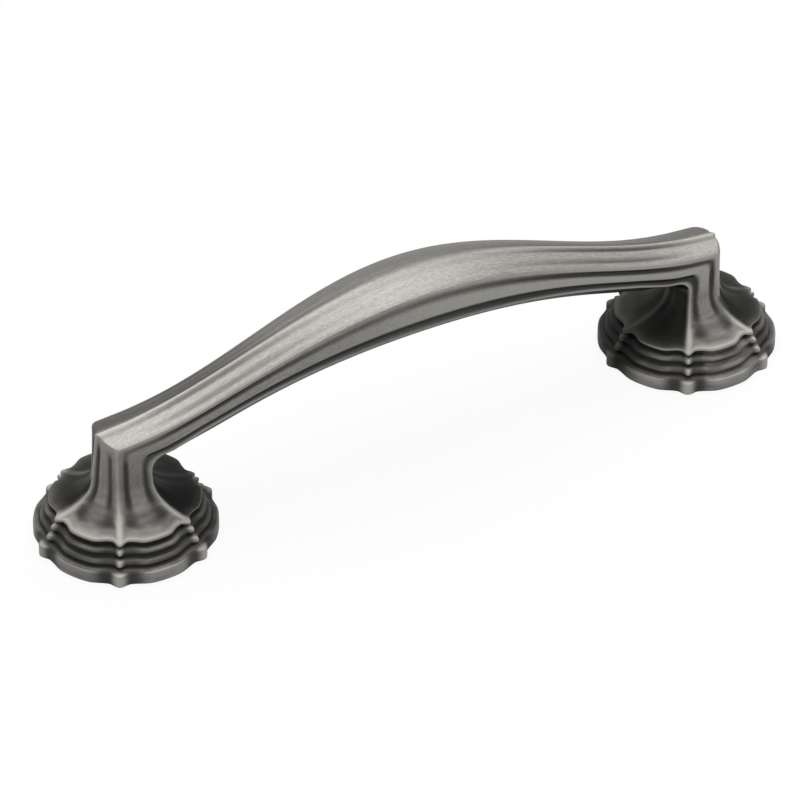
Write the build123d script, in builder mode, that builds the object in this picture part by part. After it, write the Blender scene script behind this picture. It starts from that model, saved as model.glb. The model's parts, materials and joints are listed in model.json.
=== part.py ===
from build123d import *
import os
from math import atan, cos, degrees, pi, radians, sin, sqrt

# Driving dimensions, in millimetres and degrees.
# X runs along the pull, Z is up, and the origin lies on the mounting plane
# midway between the two screw holes.

# Tapped screw holes
hole_spacing = 96.0
tap_radius = 1.65
tap_depth = 12.0
tap_mouth_chamfer = 0.4
tap_mouth_angle = 90.0

# Foot rings: the radius at the tips, and the rise of each edge above the one below
base_radius = 14.1
base_height = 2.15
base_edge_break = 0.4
lower_bead_radius = 12.75
lower_bead_rise = 1.1
upper_bead_radius = 12.05
upper_bead_rise = 1.5
lip_radius = 11.45
lip_rise = 1.2
bead_half_thickness = 0.15
ring_groove_depth = 0.6

# Six tips of the rings: how far they stand out, and the notches beside them
tip_rise = 0.4
tip_notch_sink = 0.4
tip_notch_angle = 7.5

# Post: shoulder is the reach of its four side ridges along the pull, crest
# how far the outer ridge stands beyond them, and width the half width across;
# the mitre at the corner falls away from the bar by its angle
flare_rise = 4.9
flare_rim_angle = 16.0
post_shoulder = 2.7
post_crest = 2.4
post_width = 4.3
post_rise = 5.3
corner_shoulder = 2.45
corner_crest = 1.5
corner_width = 4.15
mitre_fall = 57.4

# Arched bar: the rise of its centre line above the corners, how far beyond the
# post the arch would level out, and the same three sizes at crown and neck
arch_rise = 10.0
arch_overrun = 7.0
crown_shoulder = 3.25
crown_crest = 1.4
crown_width = 5.4
neck_shoulder = 1.8
neck_crest = 1.45
neck_width = 3.95
neck_setback = 12.0

# Flutes of the post and the bar: a rounded keel below, and on the other sides
# grooves beside each ridge and a band between them
keel_rise = 1.3
bar_keel_bulge = 0.9
post_keel_bulge = 0.15
width_lean = 0.1
groove_share = 0.2
groove_sink = 0.25
crown_groove_sink = 0.12
band_rise = 0.2

# How far from the post's axis the corner begins, and the number of sections
# that the bar and the flare are drawn from
corner_setback = 6.0
bar_section_count = 9
flare_section_count = 5

# Worked out from these
half_span = hole_spacing / 2
lower_bead_height = base_height + lower_bead_rise
upper_bead_height = lower_bead_height + upper_bead_rise
lip_height = upper_bead_height + lip_rise
lip_top = lip_height + bead_half_thickness
flare_top = lip_top + flare_rise
corner_height = flare_top + post_rise
neck_offset = half_span - neck_setback
ridge_count = 6
ridge_step = 360 / ridge_count
points_per_side = 4
post_slope = -90


def ease(share):
    """Smooth run from 0 to 1."""
    return (1 - cos(pi * share)) / 2


def between(low, high, share):
    """Value part of the way from one to another."""
    return low + (high - low) * share


def blend(low, high, share):
    """Section part of the way from one section to another."""
    return [(between(a, c, share), between(b, d, share)) for (a, b), (c, d) in zip(low, high)]


def rosette(radius):
    """Plan of a foot ring, as ridge, groove, band, groove and so on round."""
    round_radius = radius - tip_rise
    notch_radius = round_radius - tip_notch_sink
    marks = [
        (0, radius),
        (tip_notch_angle, notch_radius),
        (ridge_step / 2, round_radius),
        (ridge_step - tip_notch_angle, notch_radius),
    ]
    points = []
    for number in range(ridge_count):
        for angle, reach in marks:
            turn = radians(ridge_step * number + angle)
            points.append((reach * sin(turn), reach * cos(turn)))
    return points


def fluted(shoulder, crest, width, sink, keel_bulge):
    """Section of the post or the bar, in the same order as a rosette."""
    upper = (width - width_lean, shoulder)
    lower = (width + width_lean, -shoulder)
    ridges = [
        (0, shoulder + crest),
        upper,
        lower,
        (0, -shoulder - keel_rise),
        (-lower[0], lower[1]),
        (-upper[0], upper[1]),
    ]
    flank = 4 * groove_share * (1 - groove_share) * keel_bulge
    flutes = [(0, 0), (groove_share, -sink), (0.5, band_rise), (1 - groove_share, -sink)]
    keel = [(0, 0), (groove_share, flank), (0.5, keel_bulge), (1 - groove_share, flank)]
    points = []
    for (p0, q0), (p1, q1) in zip(ridges, ridges[1:] + ridges[:1]):
        length = sqrt((p1 - p0) ** 2 + (q1 - q0) ** 2)
        marks = keel if q0 + q1 < -2 * shoulder else flutes
        for share, offset in marks:
            p = between(p0, p1, share) + offset * (q0 - q1) / length
            q = between(q0, q1, share) + offset * (p1 - p0) / length
            points.append((p, q))
    return points


def section_face(plane, section):
    """Face of a section: each side has two straight ridge flanks and a curved band between them."""
    with BuildSketch(plane) as drawn:
        with BuildLine():
            for first in range(0, len(section), points_per_side):
                ridge, groove, band, next_groove = section[first : first + points_per_side]
                next_ridge = section[(first + points_per_side) % len(section)]
                pull = tuple(2 * b - (g + n) / 2 for g, b, n in zip(groove, band, next_groove))
                Line(ridge, groove)
                Bezier(groove, pull, next_groove)
                Line(next_groove, next_ridge)
        make_face()
    return drawn.sketch.face()


def path_plane(x, height, slope):
    """Plane across the path: local x is across the pull, local y points out of the arch."""
    direction = (cos(radians(slope)), 0, sin(radians(slope)))
    return Plane(origin=(x, 0, height), x_dir=(0, 1, 0), z_dir=direction)


def arch_station(x):
    """Plane across the bar's centre line, which is part of a cosine wave."""
    wave = pi / (half_span + arch_overrun)
    scale = arch_rise / (1 - cos(wave * half_span))
    height = corner_height + arch_rise - scale * (1 - cos(wave * x))
    slope = degrees(atan(-scale * wave * sin(wave * x)))
    return path_plane(x, height, slope)


def bar_section(x):
    """The bar is thinnest from its necks to the corners and swells to the crown."""
    return blend(crown_section, neck_section, ease(min(abs(x) / neck_offset, 1)))


crown_section = fluted(crown_shoulder, crown_crest, crown_width, crown_groove_sink, bar_keel_bulge)
neck_section = fluted(neck_shoulder, neck_crest, neck_width, groove_sink, bar_keel_bulge)
corner_section = fluted(corner_shoulder, corner_crest, corner_width, groove_sink, post_keel_bulge)
post_section = fluted(post_shoulder, post_crest, post_width, groove_sink, post_keel_bulge)

# The corners are mitred: seen from above, a corner's slanting section has the corner's sizes
mitre_stretch = 1 / sin(radians(mitre_fall))
mitre_section = [(p, q * mitre_stretch) for p, q in corner_section]
mitre_face = section_face(path_plane(half_span, corner_height, -mitre_fall), mitre_section)

# Bar, between the two corners
bar_reach = half_span - corner_setback
bar_faces = []
for number in range(bar_section_count):
    x = between(-bar_reach, bar_reach, number / (bar_section_count - 1))
    bar_faces.append(section_face(arch_station(x), bar_section(x)))

with BuildPart() as bar:
    loft(bar_faces)

# Flare of the right post, part of a quarter ellipse from the lip up to the post
rim_turn = radians(flare_rim_angle)
flare_faces = []
for number in range(flare_section_count):
    turn = between(rim_turn, pi / 2, number / (flare_section_count - 1))
    height = between(flare_top, lip_top, cos(turn) / cos(rim_turn))
    section = blend(rosette(lip_radius), post_section, (sin(turn) - sin(rim_turn)) / (1 - sin(rim_turn)))
    flare_faces.append(section_face(path_plane(half_span, height, post_slope), section))

with BuildPart() as flare:
    loft(flare_faces)

# Right corner, straight from the bar to the mitre and from there down to the flare
with BuildPart() as corner:
    loft([bar_faces[-1], mitre_face, flare_faces[-1]], ruled=True)

# Rings of the right foot, from the mounting plane up to the lip
ring_levels = [
    (base_radius, 0),
    (base_radius, base_height - base_edge_break),
    (base_radius - base_edge_break, base_height),
]
for radius, height, rise in [
    (lower_bead_radius, lower_bead_height, lower_bead_rise),
    (upper_bead_radius, upper_bead_height, upper_bead_rise),
    (lip_radius, lip_height, lip_rise),
]:
    ring_levels.append((radius - ring_groove_depth, height - rise / 2))
    ring_levels.append((radius, height - bead_half_thickness))
    ring_levels.append((radius, height + bead_half_thickness))
ring_faces = []
for radius, height in ring_levels:
    ring_faces.append(section_face(path_plane(half_span, height, post_slope), rosette(radius)))

with BuildPart() as foot:
    loft(ring_faces, ruled=True)

# The casting, with a blind tapped hole up into each foot
hole_mouths = [Plane(origin=(x, 0, 0), z_dir=(0, 0, -1)) for x in (-half_span, half_span)]
mouth_radius = tap_radius + tap_mouth_chamfer

with BuildPart() as pull_body:
    add(foot.part)
    add(flare.part)
    add(corner.part)
    mirror(about=Plane.YZ)
    add(bar.part)
    with Locations(*hole_mouths):
        CounterSinkHole(tap_radius, mouth_radius, depth=tap_depth, counter_sink_angle=tap_mouth_angle)

pull_body.part.label = "pull_body"
os.makedirs("parts", exist_ok=True)
export_step(pull_body.part, "parts/pull_body.step")
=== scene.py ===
import json
from math import cos, pi, radians, sin

import bpy
import numpy as np
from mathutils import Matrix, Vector


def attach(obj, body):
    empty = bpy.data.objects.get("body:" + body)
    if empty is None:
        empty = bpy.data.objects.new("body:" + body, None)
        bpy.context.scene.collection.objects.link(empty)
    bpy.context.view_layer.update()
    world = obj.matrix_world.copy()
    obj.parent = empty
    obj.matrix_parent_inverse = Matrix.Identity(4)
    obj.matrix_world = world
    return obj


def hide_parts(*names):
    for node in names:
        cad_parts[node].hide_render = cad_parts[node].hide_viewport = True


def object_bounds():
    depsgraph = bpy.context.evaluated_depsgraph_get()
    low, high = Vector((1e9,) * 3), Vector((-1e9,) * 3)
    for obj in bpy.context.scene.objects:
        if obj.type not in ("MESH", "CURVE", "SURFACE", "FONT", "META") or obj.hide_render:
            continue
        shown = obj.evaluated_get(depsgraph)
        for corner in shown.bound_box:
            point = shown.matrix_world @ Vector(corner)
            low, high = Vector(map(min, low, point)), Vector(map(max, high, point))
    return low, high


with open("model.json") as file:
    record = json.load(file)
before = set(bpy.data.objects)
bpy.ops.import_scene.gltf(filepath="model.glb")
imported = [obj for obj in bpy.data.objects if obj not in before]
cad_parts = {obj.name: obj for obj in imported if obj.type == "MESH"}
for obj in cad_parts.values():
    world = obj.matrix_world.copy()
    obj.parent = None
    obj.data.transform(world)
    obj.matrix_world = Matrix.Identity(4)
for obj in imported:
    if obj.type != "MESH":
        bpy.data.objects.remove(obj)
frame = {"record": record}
cad_low, cad_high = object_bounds()

# Sizes in millimetres and degrees. X runs along the pull, the front faces -Y, Z is up, and the origin
# lies on the mounting plane midway between the two screw holes.
MM = 0.001
mounts = {mount["name"]: mount for mount in frame["record"]["mounts"]}
hole_spacing = mounts["screw_holes"]["dims"]["spacing_x_mm"]
tap_radius = mounts["left_screw_hole"]["dims"]["r_mm"]
tap_wall = mounts["left_screw_hole"]["dims"]["length_mm"]
tap_mouth_chamfer = 0.4
half_span = hole_spacing / 2
top_clearance = 0.01
top_height = cad_high.z / MM - top_clearance

# Foot rings: the beads and the lip have a radius at the tips and a height
base_radius = cad_high.x / MM - half_span
base_height = 2.05
base_edge_round = 0.35
foot_edge_round = 0.2
lower_bead = (12.85, 2.95)
upper_bead = (12.1, 4.5)
lip = (11.45, 5.85)
lip_round = 0.36
lip_droop = 0.22
bead_round = 0.2
cove_depth = 0.6

# Knobs at the tips of the beads: radius, and angle from the middle to the edge; then the height from
# which any tip is worn all over
knob_radius = 0.55
knob_angle = 4.4
worn_tip_height = 0.3

# Plan of the rings: angle from a tip to the notch beside it, drop from the tip to the notch, and to
# the middle of the band; angles from the tip where the notch ends and the full band begins
base_plan = (7.5, 0.78, 0.42)
lip_plan = (6.5, 0.87, 0.22)
band_angles = (9.0, 21.0)

# Sections of the bar and the post: depth of the shoulder below the outer ridge and half width
# there, depth of the lower rib and half width there, rise and bulge of the keel below the ribs
crown_size = (1.55, 5.45, 7.85, 5.4, 1.7, 0.9)
neck_size = (1.6, 3.85, 5.25, 4.1, 1.4, 1.15)
corner_size = (1.5, 3.95, 6.75, 4.35, 1.2, 0.25)
post_size = (2.3, 4.0, 7.75, 4.55, 1.1, 0.2)
neck_offset = 36.0

# Top ridge of the bar: drop and length of half a cosine wave; then how far the outer ridge of the
# corner and of the post lies from the hole's axis, slope of the mitre, and where rows start to lean
arch_drop = 12.1
arch_half_wave = 55.0
corner_reach = 4.35
post_reach = 5.25
mitre_fall = 0.64
corner_turn_start = 30.0

# Flare, part of a quarter ellipse: its top and the angle at its rim, sink of its scoops, and shares of
# the way from the lip to the post where the flutes start and where they are full
flare_top = 11.0
flare_rim_angle = 16.0
flare_scoop = 0.42
flare_scoop_end = (0.35, 0.95)

# Rounding of the mitre's edge, by depth below the outer ridge, and the room that it needs
corner_depths = (0.0, 1.5, 3.1, 6.75, 7.95)
corner_rounds = (0.35, 0.55, 0.8, 2.4, 2.7)
corner_room = 1.2

# Flutes: sink of the groove by the top ridge, of the one by the shoulder, of the upper and the lower
# one in the front face and of those by the keel; even and skewed bulge of the top side
crown_sinks = (0.03, 0.03, 0.2, 0.27, 0.0)
neck_sinks = (0.2, 0.15, 0.3, 0.3, 0.0)
corner_sinks = (0.1, 0.02, 0.2, 0.28, 0.05)
post_sinks = (0.31, 0.27, 0.31, 0.3, 0.16)
crown_bulge = (0.34, 0.04)
neck_bulge = (0.1, 0.08)
corner_bulge = (0.06, 0.25)
post_bulge = (0.0, 0.2)
face_bulge = 0.22

# Grooves: distance from the ridge and half width, as shares of the side
ridge_groove = (0.18, 0.17)
shoulder_groove = (0.28, 0.2)
face_groove = (0.25, 0.18)
rib_groove = (0.19, 0.19)
crown_face_groove = (0.18, 0.18)
bar_rib_groove = (0.15, 0.22)
keel_groove = (0.2, 0.2)
flare_groove = (0.2, 0.24)
post_narrowing = 0.95
post_groove_start = 0.3

# Patina, where 1 is a dark groove and 2 is black: sink of a groove that has 1, then the back of the
# bar, beads, coves, notches and flare; share of the flare's beside its scoops and in them, and the
# power with which it fades towards the post
full_sink = 0.34
back_patina = 0.42
bead_patina = 0.3
cove_patina = 1.4
notch_patina = 0.6
base_notch_patina = 0.85
flare_patina = 1.3
flare_streaks = (0.45, 1.0)
flare_fading = 0.7

# Share of the patina taken off as painted light on the right foot's front rings, share of painted shade
# added to the patina at the right end of the bar, and patina of the bar's back at the left and of the
# left post
painted_light_share = 0.8
right_end_shade = 0.38
left_back_patina = 0.27
left_post_patina = 0.3

# Wear, from 0 to 1: on the lip, the beads, the base, its rim and the tips, of the ridges, and painted
# light on the front faces; reach of the wear beside a ridge, and the power with which the lip's fades up
# the flare
lip_wear = 0.7
bead_wear = 0.26
base_wear = 0.4
base_rim_wear = 0.62
tip_wear = 0.95
crown_wear = 0.15
bar_wear = 0.55
post_wear = 0.75
front_painted_light = 0.58
rib_wear_reach = 0.35
lip_wear_fading = 6

# Painted shade, from 0 to 1, on the sides of the feet that turn from the light: the back of the left
# flare, the left rings that face right and left, the right flare that faces left, in front and behind,
# and right, and the right rings that face right and back
left_flare_shade = 0.75
left_ring_shades = (0.5, 0.3)
inner_flare_shades = (0.84, 0.79)
outer_flare_shade = 0.85
right_ring_shades = (0.38, 0.78)

# Fields of the finish. A run is the value where a mark comes in and the stretch over which it does,
# negative where the value falls: a place in millimetres, a share, a part of the normal or a patina.
# A sector has two angles from the front of a foot towards the left.
back_run = (0.1, 0.8)
flare_run = (lip[1], 0.4)
flare_dull_run = (0.12, 0.35)
below_flare_top_run = (flare_top, -1.5)
below_post_run = (flare_top + 3.0, -2.0)
behind_run = (0.0, 1.5)
underside_run = (0.05, 0.35)
painted_light_ring_run = (lip[1] + 0.8, -0.8)
bar_height_run = (flare_top, 3.0)
right_end_run = (-5.0, 30.0)
left_end_run = (-18.0, -20.0)
left_back_run = (0.1, 1.0)
left_post_run = (-38.0, -4.0)
left_post_foot_run = (7.5, 2.0)
left_post_top_run = (19.5, -3.0)
front_light_run = (-28.0, 34.0)
front_light_facing_run = (0.6, 0.3)
front_light_height_run = (flare_top - 1.0, 3.0)
front_light_band_run = (0.4, -0.4)
foot_run = (10.5, -4.0)
side_sector = (28.0, 152.0)
painted_light_sector = (-30.0, 22.0)
inner_back_sector = (50.0, 180.0)
sector_fade = 8.0
inner_back_fade = 30.0

# Warm grey of the metal, and its level on the bar and the feet, in patina, in painted shade and worn
pewter_hue = (1.0, 0.9687, 0.8967)
bar_levels = (0.155, 0.3)
foot_levels = (0.09, 0.2)
patina_level = 0.045
painted_shade_level = 0.006
worn_level = 0.34

# Noise: waves per millimetre along the casting, across it and out of it, and the detail
grain_noise = ((0.06, 5.0, 5.0), 3.0)
fleck_noise = ((1.3, 7.0, 7.0), 1.0)
scratch_noise = ((9.0, 0.35, 0.35), 2.0)
cloud_noise = ((1.5, 0.22, 0.22), 4.0)

# Ranges in which the noise and the marks take effect, and how much they do
noise_range = (0.3, 0.7)
fleck_share = 0.2
hollow_range = (0.1, 1.0)
soot_range = (1.0, 2.0)
soot_share = 0.8
wear_range = (0.05, 1.0)
painted_shade_wear_loss = 0.9
patina_metal_loss = 0.9
bar_roughness = (0.42, 0.52)
foot_roughness_gain = 0.14
scratch_strength = 0.25
scratch_depth_m = 0.00004
patina_specular = 0.1

# Stage, in metres and watts
floor_reach = 4.0
floor_grey = 0.95
floor_glow = 0.9
world_fill = 0.35
lamp_target = (0, 0, 0.01)
overhead_lamp = {"location": (0.09, 0.17, 0.89), "size": 1.0, "power": 7.6}
side_lamp = {"location": (0.9, 0.48, 0.66), "size": 0.9, "power": 1.5}
camera_location = (-0.2941, -0.5395, 0.4843)
camera_target = (-0.002168, 0.0, 0.006719)
camera_clip = (0.01, 50.0)
sensor_width_mm = 36.0
focal_length_mm = 233.5

# Mesh density, and passes that round the ridges and the top of the flare
sides = 6
points_per_side = 32
ridge_crowding = 0.5
bar_rows = 64
tilt_rows = 34
corner_rows = 12
post_rows = 14
flare_rows = 28
lip_rows = 9
cove_rows = 13
base_edge_rows = 6
foot_edge_rows = 4
seat_rows = 5
hole_rows = 4
ridge_passes = 2
join_rows = 8
join_passes = 12

side_step = 360 / sides


def between(low, high, share):
    """Value part of the way from one to another."""
    return low + (high - low) * share


def smooth(share):
    """Smooth run from 0 to 1, flat at both ends."""
    share = np.clip(share, 0.0, 1.0)
    return share * share * (3 - 2 * share)


def come_in(value, run):
    """Smooth run from 0 to 1, from a start and over a length."""
    start, length = run
    return smooth((value - start) / length)


def ease(share):
    """Half a cosine wave, from 0 to 1."""
    return (1 - cos(pi * share)) / 2


def side_shares():
    """Places of a side's points between its two ridges, closer together near the ridges."""
    even = np.arange(points_per_side) / points_per_side
    return even - ridge_crowding * np.sin(2 * pi * even) / (2 * pi)


def groove(share, place, width):
    """Profile of a groove: 1 at its place, 0 a width to either side."""
    return smooth(1 - np.abs(share - place) / width)


def groove_table(sinks, narrowing=1.0, face_place=face_groove, rib_place=rib_groove):
    """Place, half width and sink of the two grooves of each side, from the keel round."""
    ridge_sink, shoulder_sink, face_sink, rib_sink, keel_sink = sinks
    under = [(*keel_groove, keel_sink), (*keel_groove, keel_sink)]
    face = [(*rib_place, rib_sink), (*face_place, face_sink)]
    top = [(*shoulder_groove, shoulder_sink), (*ridge_groove, ridge_sink)]
    table = np.array([under, face, top, top[::-1], face[::-1], under])
    table[:, :, 1] *= narrowing
    return table


def flutes(table):
    """Depth of the grooves, all round a section."""
    share = side_shares()
    parts = []
    for (near, near_width, near_sink), (far, far_width, far_sink) in table:
        near_groove = near_sink * groove(share, near, near_width)
        parts.append(near_groove + far_sink * groove(1 - share, far, far_width))
    return np.concatenate(parts)


def carve(plan, depth):
    """Sinks the points of a closed plan below its surface."""
    chord = np.roll(plan, -1, 0) - np.roll(plan, 1, 0)
    outward = np.column_stack((-chord[:, 1], chord[:, 0])) / np.linalg.norm(chord, axis=1)[:, None]
    return plan - outward * depth[:, None]


def soften(section, passes):
    """Rounds a closed section's ridges and grooves a little."""
    for _ in range(passes):
        section = (np.roll(section, 1, 0) + 2 * section + np.roll(section, -1, 0)) / 4
    return section


def plain_section(size, reach, top_bulge, wear):
    """Section without its flutes, from the keel round: across, out of the arch, patina and wear."""
    shoulder_depth, shoulder_width, rib_depth, rib_width, keel_rise, keel_bulge = size
    top = np.array((0.0, reach))
    shoulder = np.array((shoulder_width, reach - shoulder_depth))
    rib = np.array((rib_width, reach - rib_depth))
    keel = np.array((0.0, reach - rib_depth - keel_rise))
    mirror = np.array((-1, 1))
    ridges = [keel, rib * mirror, shoulder * mirror, top, shoulder, rib]
    share = side_shares()
    # Bulges of height 1, with their peak in the middle and a third from either end
    even = 4 * share * (1 - share)
    skewed = 27 / 4 * share * (1 - share) ** 2
    skewed_back = 27 / 4 * share**2 * (1 - share)
    under, face = keel_bulge * even, face_bulge * even
    front_top = top_bulge[0] * even + top_bulge[1] * skewed
    back_top = top_bulge[0] * even + top_bulge[1] * skewed_back
    bulges = [under, face, front_top, back_top, face, under]
    parts = []
    for start, end, bulge in zip(ridges, ridges[1:] + ridges[:1], bulges):
        chord = end - start
        length = np.hypot(*chord)
        outward = np.array((-chord[1], chord[0])) / length
        points = start + np.outer(share, chord) + np.outer(bulge, outward)
        from_ridge = np.minimum(share, 1 - share) * length
        worn = wear * np.exp(-((from_ridge / rib_wear_reach) ** 2))
        patina = back_patina * come_in(points[:, 0], back_run)
        parts.append(np.column_stack((points, patina, worn)))
    return soften(np.concatenate(parts), ridge_passes)


def fluted(section, table):
    """The same section with its flutes."""
    depth = flutes(table)
    patina = np.maximum(depth / full_sink, section[:, 2])
    return np.column_stack((carve(section[:, :2], depth), patina, section[:, 3]))


def tip_angles():
    """Angle of each point of a ring from the nearest tip, for one side."""
    shares = side_shares()
    return side_step * np.minimum(shares, 1 - shares)


def tip_shape(angle):
    """1 at a tip, falling to 0 at an angle from it, for one side."""
    return 1 - smooth(tip_angles() / angle)


def rosette(radius, plan, tip=None, dark=0.0, notch_dark=0.0, worn=0.0):
    """Plan of a foot ring, from the inner tip round, with patina and wear.

    A tip of its own has an angle and a height; otherwise it fills the notch.
    """
    notch_angle, notch_drop, band_drop = plan
    tip_angle, tip_height = tip or (notch_angle, notch_drop)
    band_start, band_full = band_angles
    rise = smooth((tip_angles() - band_start) / (band_full - band_start))
    shape = tip_shape(tip_angle)
    reach = radius - notch_drop + (notch_drop - band_drop) * rise + tip_height * shape
    bare = shape * min(tip_height / worn_tip_height, 1.0)
    notch = notch_dark * (1 - rise)
    patina = np.maximum(dark, notch) * (1 - bare)
    worn = np.maximum(worn * (1 - notch), bare * tip_wear)
    marks = np.tile(np.column_stack((patina, worn)), (sides, 1))
    return np.column_stack((unit_circle * np.tile(reach, sides)[:, None], marks))


def level(section, height):
    """Row of points of the right foot at a height, which may differ from point to point."""
    heights = np.broadcast_to(height, (len(section),))
    return np.column_stack((half_span + section[:, 1], section[:, 0], heights, section[:, 2:]))


# Directions of a ring's points, and the sections of the bar and the post
steps = side_step * (np.arange(sides)[:, None] + side_shares()[None, :])
turns = np.radians(180 + steps).ravel()
unit_circle = np.column_stack((np.sin(turns), np.cos(turns)))

crown_table = groove_table(crown_sinks, face_place=crown_face_groove, rib_place=bar_rib_groove)
neck_table = groove_table(neck_sinks, rib_place=bar_rib_groove)
corner_table = groove_table(corner_sinks)
post_table = groove_table(post_sinks, post_narrowing)
flare_table = np.broadcast_to((*flare_groove, flare_scoop), post_table.shape)

crown_section = fluted(plain_section(crown_size, 0.0, crown_bulge, crown_wear), crown_table)
neck_section = fluted(plain_section(neck_size, 0.0, neck_bulge, bar_wear), neck_table)
corner_section = fluted(plain_section(corner_size, 0.0, corner_bulge, bar_wear), corner_table)
post_plain = plain_section(post_size, post_reach, post_bulge, post_wear)
post_section = fluted(post_plain, post_table)


def bar_section(x):
    """The bar is thinnest at its necks and swells to the crown and the corners."""
    if x < neck_offset:
        return between(crown_section, neck_section, ease(x / neck_offset))
    return between(neck_section, corner_section, ease((x - neck_offset) / (half_span - neck_offset)))


def ridge_height(x):
    """Height of the bar's top ridge."""
    return top_height - arch_drop * ease(x / arch_half_wave)


def bar_half():
    """Rows from the middle of the bar to the mitre; the last ones lean over to meet it."""
    end = half_span + corner_reach
    xs = list(np.linspace(0, corner_turn_start, bar_rows, endpoint=False))
    xs += list(np.linspace(corner_turn_start, end, tilt_rows))
    rows = []
    for x in xs:
        lean = float(smooth((x - corner_turn_start) / (end - corner_turn_start)))
        section = bar_section(x - lean * corner_reach)
        across, out = section[:, 0], section[:, 1]
        height = ridge_height(x) + out * between(1.0, mitre_fall, lean)
        rows.append(np.column_stack((x + out * lean, across, height, section[:, 2:])))
    return rows


def post_half():
    """Rows from the mitre down to the top of the flare."""
    mitre_height = ridge_height(half_span + corner_reach) + corner_section[:, 1] * mitre_fall
    shift = np.array((0.0, corner_reach, 0.0, 0.0))
    start, end = level(corner_section + shift, mitre_height), level(post_section, flare_top)
    return [between(start, end, share) for share in np.linspace(0, 1, post_rows)]


def rounded_corner(bar, post):
    """Joins the bar's rows to the post's, with the edges of the mitre rounded off."""
    mitre = bar[-1]
    reach = np.interp(-corner_section[:, 1], corner_depths, corner_rounds)[:, None]

    def away(row):
        """Distance of a row's points from the mitre."""
        return np.linalg.norm((row - mitre)[:, :3], axis=1)[:, None]

    kept = [row for row in bar[:-1] if np.all(away(row) > reach * corner_room)]
    start = mitre + (kept[-1] - mitre) / away(kept[-1]) * reach
    end = mitre + (post[-1] - mitre) / away(post[-1]) * reach
    middle = [between(kept[-1], start, share) for share in (1 / 3, 2 / 3)]
    arc = []
    for t in np.linspace(0, 1, corner_rows):
        arc.append((1 - t) ** 2 * start + 2 * t * (1 - t) * mitre + t**2 * end)
    deepening = flutes(post_table) - flutes(corner_table)
    straight = []
    for share in np.linspace(0, 1, post_rows)[1:]:
        row = between(end, post[-1], share)
        extra = deepening * (smooth(share / post_groove_start) - share)
        plan = carve(row[:, 1::-1], extra)[:, ::-1]
        patina = row[:, 3] + extra / full_sink
        straight.append(np.column_stack((plan, row[:, 2], patina, row[:, 4])))
    return kept + middle + arc + straight


def lip_heights():
    """Height of the lip's nose, which droops at the tips."""
    return lip[1] - lip_droop * np.tile(tip_shape(lip_plan[0]), sides)


def flare_half():
    """Rows of the flare from the post down to the lip; the flutes run out on it."""
    rim = radians(flare_rim_angle)
    lip_row = rosette(lip[0] - lip_round, lip_plan)
    lip_top = lip_heights() + lip_round
    scoop_start, scoop_full = flare_scoop_end
    faces = 1 - np.tile(tip_shape(band_angles[0]), sides)
    streaks = between(*flare_streaks, flutes(flare_table) / flare_scoop)
    rows = []
    for turn in np.linspace(pi / 2, rim, flare_rows)[1:]:
        share = (sin(turn) - sin(rim)) / (1 - sin(rim))
        plain = between(lip_row, post_plain, share)
        fade = smooth((share - scoop_start) / (scoop_full - scoop_start))
        depth = fade * flutes(between(flare_table, post_table, share**2))
        worn = np.maximum(plain[:, 3], lip_wear * (1 - share) ** lip_wear_fading)
        dull = come_in(share, flare_dull_run) * (1 - share) ** flare_fading
        patina = np.maximum(depth / full_sink, flare_patina * dull * faces * streaks)
        patina = np.maximum(patina, plain[:, 2])
        plan = np.column_stack((carve(plain[:, :2], depth), patina, worn))
        rows.append(level(plan, between(flare_top, lip_top, cos(turn) / cos(rim))))
    return rows


def lip_half():
    """Rows of the lip's rounded nose."""
    nose = lip_heights()
    rows = []
    for turn in np.linspace(pi / 2, -pi / 2, lip_rows)[1:]:
        worn = lip_wear * (1 - float(smooth(-sin(turn))))
        plan = rosette(lip[0] - lip_round * (1 - cos(turn)), lip_plan, worn=worn)
        rows.append(level(plan, nose + lip_round * sin(turn)))
    return rows


def knob_height(radius, height):
    """How far the knobs at the tips of the beads stand out of a radius at a height."""
    fill = 0.0
    for bead_radius, bead_height in (upper_bead, lower_bead):
        away = abs(height - bead_height)
        if away < knob_radius:
            knob_reach = bead_radius - knob_radius + (knob_radius**2 - away**2) ** 0.5
            fill = max(fill, knob_reach - radius)
    return fill


def ring(radius, height, dark=0.0, worn=0.0):
    """Plan of a ring below the lip, with the knobs of the beads at its tips."""
    share = min(max((height - base_height) / (lip[1] - base_height), 0.0), 1.0)
    plan = [between(low, high, share) for low, high in zip(base_plan, lip_plan)]
    if height <= base_height:
        return rosette(radius, plan, None, dark, base_notch_patina, worn)
    tip = (knob_angle, knob_height(radius - plan[1], height))
    return rosette(radius, plan, tip, dark, notch_patina, worn)


def bead_half():
    """Rows of the beads, and of the coves between the lip, the beads and the base."""
    beads = (upper_bead, lower_bead)
    uppers = [(lip[0] - lip_round, lip[1] - lip_round)]
    uppers += [(radius, height - bead_round) for radius, height in beads]
    lowers = [(radius, height + bead_round) for radius, height in beads]
    lowers += [(base_radius - base_edge_round, base_height)]
    tip_droop = lip_heights() - lip[1]
    rows = []
    for (high_radius, high), (low_radius, low) in zip(uppers, lowers):
        for share in np.linspace(0, 1, cove_rows)[1:]:
            hollow = sin(pi * share) ** 2
            radius = between(high_radius, low_radius, share) - cove_depth * hollow
            height = between(high, low, share)
            droop = 1 - share if high > upper_bead[1] else 0.0
            plan = ring(radius, height, max(cove_patina * hollow, bead_patina))
            rows.append(level(plan, height + droop * tip_droop))
        if low > base_height:
            nose, under = low - bead_round, low - 2 * bead_round
            rows.append(level(ring(low_radius + bead_round / 2, nose, bead_patina, bead_wear), nose))
            rows.append(level(ring(low_radius, under, bead_patina), under))
    return rows


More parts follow.
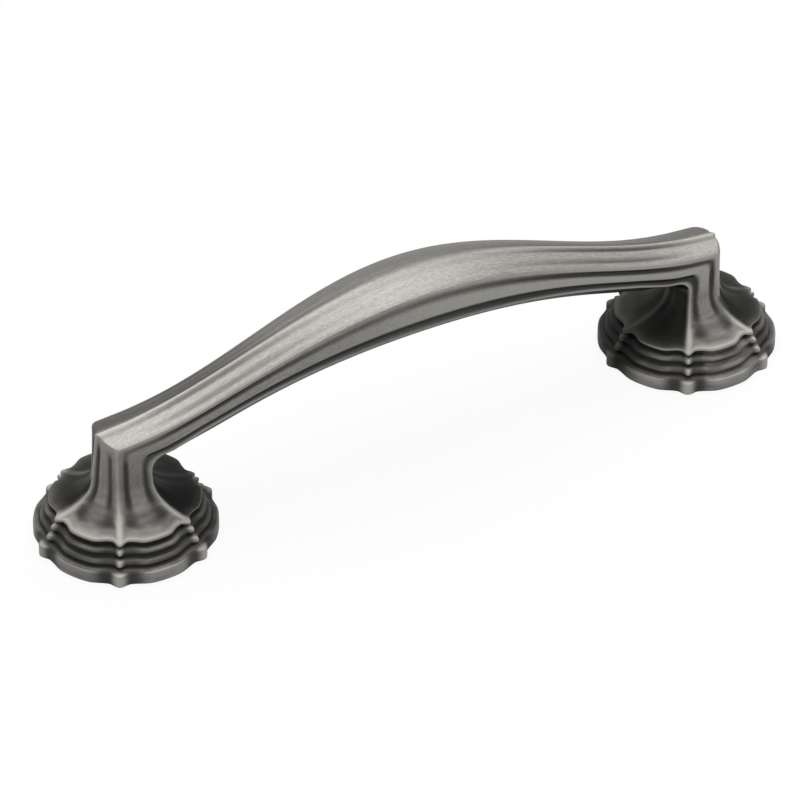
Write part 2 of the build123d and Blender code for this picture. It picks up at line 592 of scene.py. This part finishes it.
def base_half():
    """Rows of the base, with its rim and its foot rounded."""
    edges = []
    for turn in np.linspace(0, pi / 2, base_edge_rows)[1:]:
        radius = base_radius - base_edge_round * (1 - sin(turn))
        edges.append((radius, base_height - base_edge_round * (1 - cos(turn)), base_rim_wear))
    edges.append((base_radius, (base_height - base_edge_round + foot_edge_round) / 2, base_wear))
    for turn in np.linspace(0, pi / 2, foot_edge_rows):
        radius = base_radius - foot_edge_round * (1 - cos(turn))
        edges.append((radius, foot_edge_round * (1 - sin(turn)), base_wear))
    return [level(ring(radius, height, worn=worn), height) for radius, height, worn in edges]


def underside_half():
    """Rows of the flat seat and of the blind screw hole."""
    rows = []
    edge = rosette(base_radius - foot_edge_round, base_plan)[:, :2]
    mouth = unit_circle * (tap_radius + tap_mouth_chamfer)
    plain = np.zeros((len(unit_circle), 2))
    for share in np.linspace(0, 1, seat_rows + 1)[1:]:
        rows.append(level(np.column_stack((between(edge, mouth, share), plain)), 0.0))
    wall = np.column_stack((unit_circle * tap_radius, plain))
    for share in np.linspace(0, 1, hole_rows + 1):
        rows.append(level(wall, tap_mouth_chamfer + tap_wall * share))
    return rows


def body_rows():
    """All rows, from the end of the left hole to that of the right one: points, patina and wear."""
    upper = rounded_corner(bar_half(), post_half())
    foot = flare_half() + lip_half() + bead_half() + base_half() + underside_half()
    half = np.array(upper + foot)
    join = len(upper) - 1
    first, last = join - join_rows, join + join_rows
    for _ in range(join_passes):
        neighbours = half[first - 1 : last - 1] + half[first + 1 : last + 1]
        half[first:last] = (neighbours + 2 * half[first:last]) / 4
    mirror = np.array((-1, 1, 1, 1, 1))
    grid = np.concatenate((half[:0:-1] * mirror, half))
    return grid[:, :, :3], grid[:, :, 3], grid[:, :, 4]


def grid_normals(grid):
    """Unit normals of the grid's points."""
    along = np.gradient(grid, axis=0)
    around = np.roll(grid, -1, 1) - np.roll(grid, 1, 1)
    normal = np.cross(along, around)
    return normal / np.maximum(np.linalg.norm(normal, axis=2, keepdims=True), 1e-12)


def turn_from_front(grid):
    """Angle round the nearer foot's axis, from the front towards the left."""
    from_post = grid[:, :, 0] - np.where(grid[:, :, 0] > 0, half_span, -half_span)
    return np.degrees(np.arctan2(-from_post, -grid[:, :, 1]))


def sector(turn, start, end, fade=sector_fade):
    """1 between two angles round a foot."""
    return smooth((turn - start) / fade) * smooth((end - turn) / fade)


def painted_shade(grid, normals):
    """Painted shade, 1 between the feet, behind them and on faces that turn down under the bar."""
    height, turn = grid[:, :, 2], turn_from_front(grid)
    flare = come_in(height, flare_run)
    low = come_in(height, below_flare_top_run)
    high = come_in(height, below_post_run)
    behind = come_in(grid[:, :, 1], behind_run)
    facing_left = sector(turn, *side_sector)
    facing_right = sector(-turn, *side_sector)
    inner_back = sector(turn, *inner_back_sector, inner_back_fade)
    left_flare = np.maximum(facing_right * high, left_flare_shade * behind * low)
    left_rings = np.maximum(left_ring_shades[0] * facing_right, left_ring_shades[1] * facing_left)
    inner_flare = facing_left * high * between(*inner_flare_shades, behind)
    right_flare = np.maximum(inner_flare, outer_flare_shade * facing_right * low)
    right_rings = np.maximum(right_ring_shades[0] * facing_right, right_ring_shades[1] * inner_back)
    left, right = between(left_rings, left_flare, flare), between(right_rings, right_flare, flare)
    foot = np.where(grid[:, :, 0] > 0, right, left)
    return np.maximum(foot, come_in(-normals[:, :, 2], underside_run))


def painted_light_rings(grid):
    """Painted light, 1 on the rings at the front of the right foot."""
    rings = come_in(grid[:, :, 2], painted_light_ring_run)
    return np.where(grid[:, :, 0] > 0, sector(turn_from_front(grid), *painted_light_sector), 0.0) * rings


def shaded_right_end(grid):
    """1 at the right end of the bar, where painted shade deepens the patina of the grooves."""
    return come_in(grid[:, :, 0], right_end_run) * come_in(grid[:, :, 2], bar_height_run)


def left_back(grid):
    """1 on the back of the bar at its left end."""
    back = come_in(grid[:, :, 1], left_back_run)
    return come_in(grid[:, :, 0], left_end_run) * back * come_in(grid[:, :, 2], bar_height_run)


def left_post(grid):
    """1 on the left post and the upper part of its flare."""
    height = come_in(grid[:, :, 2], left_post_foot_run) * come_in(grid[:, :, 2], left_post_top_run)
    return come_in(grid[:, :, 0], left_post_run) * height


def painted_front_light(grid, normals, dark):
    """Painted light, 1 on the bands of the front faces at the right."""
    facing = come_in(-normals[:, :, 1], front_light_facing_run)
    bands = come_in(dark, front_light_band_run)
    upper = come_in(grid[:, :, 2], front_light_height_run)
    return facing * bands * upper * come_in(grid[:, :, 0], front_light_run)


def finish_marks(grid, dark, worn):
    """Patina with painted shade and painted light in it, wear with painted light, painted shade, and
    share of the feet's finish, for each point.
    """
    normals = grid_normals(grid)
    patina = dark + left_back_patina * left_back(grid)
    # Painted light lifts the patina on the right foot's front rings; painted shade deepens it at the
    # right end of the bar
    patina = patina * (1 - painted_light_share * painted_light_rings(grid)) * (1 + right_end_shade * shaded_right_end(grid))
    return {
        "patina": np.maximum(patina, left_post_patina * left_post(grid)),
        # The wear mark also carries painted light on the bands of the front faces
        "wear": np.maximum(worn, front_painted_light * painted_front_light(grid, normals, dark)),
        "painted_shade": painted_shade(grid, normals),
        "foot": come_in(grid[:, :, 2], foot_run),
    }


def brush_flow(grid):
    """Place of each point along the casting, across it and out of the arch, for the brush lines."""
    rows, columns, _ = grid.shape
    middle = grid.mean(1)
    outward = grid[:, columns // 2] - grid[:, 0]
    outward /= np.linalg.norm(outward, axis=1)[:, None]
    run = np.concatenate(((0,), np.cumsum(np.linalg.norm(np.diff(middle, axis=0), axis=1))))
    flow = np.empty(grid.shape)
    flow[:, :, 0] = (run - run[rows // 2])[:, None]
    flow[:, :, 1] = grid[:, :, 1]
    flow[:, :, 2] = np.einsum("rcd,rd->rc", grid - middle[:, None, :], outward)
    return flow


def build_body(material):
    """The casting as one closed mesh."""
    grid, dark, worn = body_rows()
    rows, columns, _ = grid.shape
    index = np.arange(rows * columns).reshape(rows, columns)
    right = np.roll(index, -1, 1)
    faces = np.stack((index[:-1], index[1:], right[1:], right[:-1]), axis=-1).reshape(-1, 4).tolist()
    hole_ends = [grid[0].mean(0), grid[-1].mean(0)]
    left_cap, right_cap = rows * columns, rows * columns + 1
    faces += [(left_cap, a, b) for a, b in zip(index[0].tolist(), right[0].tolist())]
    faces += [(right_cap, b, a) for a, b in zip(index[-1].tolist(), right[-1].tolist())]
    points = np.concatenate((grid.reshape(-1, 3), hole_ends))

    mesh = bpy.data.meshes.new("pull_body_dressed")
    mesh.from_pydata((points * MM).tolist(), [], faces)
    mesh.polygons.foreach_set("use_smooth", [True] * len(mesh.polygons))
    for name, values in finish_marks(grid, dark, worn).items():
        attribute = mesh.attributes.new(name, "FLOAT", "POINT")
        attribute.data.foreach_set("value", np.concatenate((values.ravel(), np.zeros(2))))
    flow = np.concatenate((brush_flow(grid).reshape(-1, 3), np.zeros((2, 3))))
    attribute = mesh.attributes.new("flow", "FLOAT_VECTOR", "POINT")
    attribute.data.foreach_set("vector", flow.ravel())

    body = bpy.data.objects.new("pull_body_dressed", mesh)
    bpy.context.scene.collection.objects.link(body)
    mesh.materials.append(material)
    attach(body, "root")
    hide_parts("pull_body")


class Nodes:
    """Short way to add and join shader nodes."""

    def __init__(self, owner):
        owner.use_nodes = True
        self.tree = owner.node_tree
        self.tree.nodes.clear()

    def add(self, kind, settings=None, **inputs):
        """Node with its settings, and its inputs by name."""
        node = self.tree.nodes.new(kind)
        for key, value in (settings or {}).items():
            setattr(node, key, value)
        for key, value in inputs.items():
            self.join(value, node.inputs[key.replace("_", " ")])
        return node

    def join(self, value, socket):
        """Links an output to a socket, or sets the socket's value."""
        if isinstance(value, bpy.types.NodeSocket):
            self.tree.links.new(value, socket)
        else:
            socket.default_value = value

    def math(self, operation, first, second):
        """Result of an operation on two values."""
        node = self.add("ShaderNodeMath", {"operation": operation})
        self.join(first, node.inputs[0])
        self.join(second, node.inputs[1])
        return node.outputs[0]

    def ramp(self, value, low, high, to_low=0.0, to_high=1.0):
        """Smooth run from one value to another as the input goes from low to high."""
        node = self.add("ShaderNodeMapRange", {"interpolation_type": "SMOOTHSTEP"})
        for number, setting in enumerate((value, low, high, to_low, to_high)):
            self.join(setting, node.inputs[number])
        return node.outputs[0]

    def mix(self, share, first, second):
        """Colour part of the way from one to another."""
        node = self.add("ShaderNodeMix", {"data_type": "RGBA"}, Factor=share)
        first_colour, second_colour, result = node.inputs[6], node.inputs[7], node.outputs[2]
        self.join(first, first_colour)
        self.join(second, second_colour)
        return result

    def mark(self, name, output="Fac"):
        """Value that the mesh carries under a name."""
        return self.add("ShaderNodeAttribute", {"attribute_name": name}).outputs[output]

    def noise(self, vector, scale, detail):
        """Noise from 0 to 1, with its own scale along each axis of a vector."""
        mapped = self.add("ShaderNodeVectorMath", {"operation": "MULTIPLY"})
        self.join(vector, mapped.inputs[0])
        self.join(scale, mapped.inputs[1])
        noise = self.add("ShaderNodeTexNoise", Vector=mapped.outputs[0], Scale=1.0, Detail=detail)
        return noise.outputs["Fac"]

    def finish(self, shader, kind="ShaderNodeOutputMaterial"):
        """Output of the tree."""
        self.join(shader.outputs[0], self.add(kind).inputs["Surface"])


def grey(value):
    """The metal's warm grey at a level."""
    return (*(value * part for part in pewter_hue), 1.0)


def pewter():
    """Brushed antique pewter: dark in the hollows, worn bright on the edges, with painted shade and
    painted light.
    """
    material = bpy.data.materials.new("antique_pewter")
    nodes = Nodes(material)
    flow = nodes.mark("flow", "Vector")
    grain = nodes.noise(flow, *grain_noise)
    fleck = nodes.noise(flow, *fleck_noise)
    scratch = nodes.noise(flow, *scratch_noise)
    cloud = nodes.noise(flow, *cloud_noise)
    foot = nodes.mark("foot")

    # Where the finish is dark or black with patina, darkened by painted shade, or worn; painted light on
    # the front bands comes in with the wear
    hollow = nodes.ramp(nodes.mark("patina"), *hollow_range)
    soot = nodes.ramp(nodes.mark("patina"), *soot_range, 0.0, soot_share)
    painted_shade_and_soot = nodes.math("MAXIMUM", nodes.ramp(nodes.mark("painted_shade"), 0.0, 1.0), soot)
    clear_of_shade_and_soot = nodes.math("SUBTRACT", 1.0, nodes.math("MULTIPLY", painted_shade_and_soot, painted_shade_wear_loss))
    worn = nodes.math("MULTIPLY", nodes.ramp(nodes.mark("wear"), *wear_range), clear_of_shade_and_soot)

    brushed = nodes.math("ADD", grain, nodes.ramp(fleck, *noise_range, -fleck_share, fleck_share))
    bar_tone = nodes.mix(brushed, *(grey(value) for value in bar_levels))
    foot_tone = nodes.mix(nodes.ramp(cloud, *noise_range), *(grey(value) for value in foot_levels))
    clean = nodes.mix(foot, bar_tone, foot_tone)
    dull = nodes.mix(hollow, clean, grey(patina_level))
    # Painted shade darkens the colour here, on the sides that turn from the light and under the bar
    dark = nodes.mix(painted_shade_and_soot, dull, grey(painted_shade_level))
    colour = nodes.mix(worn, dark, grey(worn_level))

    matt = nodes.math("MAXIMUM", hollow, painted_shade_and_soot)
    bare = nodes.math("SUBTRACT", 1.0, nodes.math("MULTIPLY", matt, patina_metal_loss))
    metal = nodes.math("MAXIMUM", bare, worn)
    foot_gain = nodes.math("MULTIPLY", foot, foot_roughness_gain)
    rough = nodes.math("ADD", nodes.ramp(grain, 0.0, 1.0, *bar_roughness), foot_gain)
    lines = nodes.mix(foot, grain, scratch)
    bump = nodes.add("ShaderNodeBump", Strength=scratch_strength, Distance=scratch_depth_m, Height=lines)
    shader = nodes.add("ShaderNodeBsdfPrincipled", Base_Color=colour, Metallic=metal, Roughness=rough)
    shader.inputs["Specular IOR Level"].default_value = patina_specular
    nodes.join(bump.outputs[0], shader.inputs["Normal"])
    nodes.finish(shader)
    return material


def seen_rays(nodes):
    """1 for what the camera sees, directly or mirrored."""
    rays = nodes.add("ShaderNodeLightPath").outputs
    seen = nodes.math("MAXIMUM", rays["Is Camera Ray"], rays["Is Glossy Ray"])
    return nodes.math("MAXIMUM", seen, rays["Is Transmission Ray"])


def white_floor():
    """White floor that keeps a faint shadow."""
    material = bpy.data.materials.new("white_floor")
    nodes = Nodes(material)
    matt = nodes.add("ShaderNodeBsdfDiffuse", Color=(floor_grey, floor_grey, floor_grey, 1))
    white = nodes.add("ShaderNodeEmission", Color=(1, 1, 1, 1), Strength=1.0)
    mixed = nodes.add("ShaderNodeMixShader", Fac=nodes.ramp(seen_rays(nodes), 0.0, 1.0, 0.0, floor_glow))
    nodes.join(matt.outputs[0], mixed.inputs[1])
    nodes.join(white.outputs[0], mixed.inputs[2])
    nodes.finish(mixed)
    mesh = bpy.data.meshes.new("floor")
    corners = [(x * floor_reach, y * floor_reach, 0) for x, y in ((-1, -1), (1, -1), (1, 1), (-1, 1))]
    mesh.from_pydata(corners, [], [(0, 1, 2, 3)])
    mesh.materials.append(material)
    floor = bpy.data.objects.new("floor", mesh)
    bpy.context.scene.collection.objects.link(floor)


def white_world():
    """White where it is seen or mirrored, and a dimmer fill light."""
    world = bpy.data.worlds.new("white_world")
    bpy.context.scene.world = world
    nodes = Nodes(world)
    strength = nodes.ramp(seen_rays(nodes), 0.0, 1.0, world_fill, 1.0)
    nodes.finish(
        nodes.add("ShaderNodeBackground", Color=(1, 1, 1, 1), Strength=strength),
        "ShaderNodeOutputWorld",
    )


def aimed(name, data, location, target):
    """Lamp or camera at a place, turned to a target."""
    holder = bpy.data.objects.new(name, data)
    holder.location = location
    holder.rotation_mode = "QUATERNION"
    holder.rotation_quaternion = (Vector(target) - Vector(location)).to_track_quat("-Z", "Y")
    bpy.context.scene.collection.objects.link(holder)
    return holder


def softbox(name, location, size, power):
    """Square area lamp."""
    lamp = bpy.data.lights.new(name, "AREA")
    lamp.shape = "SQUARE"
    lamp.size = size
    lamp.energy = power
    aimed(name, lamp, location, lamp_target)


def camera():
    """The photograph's view: from the front and the left, well above the pull."""
    lens = bpy.data.cameras.new("camera")
    lens.sensor_width = sensor_width_mm
    lens.lens = focal_length_mm
    lens.clip_start, lens.clip_end = camera_clip
    bpy.context.scene.camera = aimed("camera", lens, camera_location, camera_target)


build_body(pewter())
white_floor()
white_world()
softbox("overhead", **overhead_lamp)
softbox("side_fill", **side_lamp)
camera()
bpy.context.scene.view_settings.view_transform = "Standard"
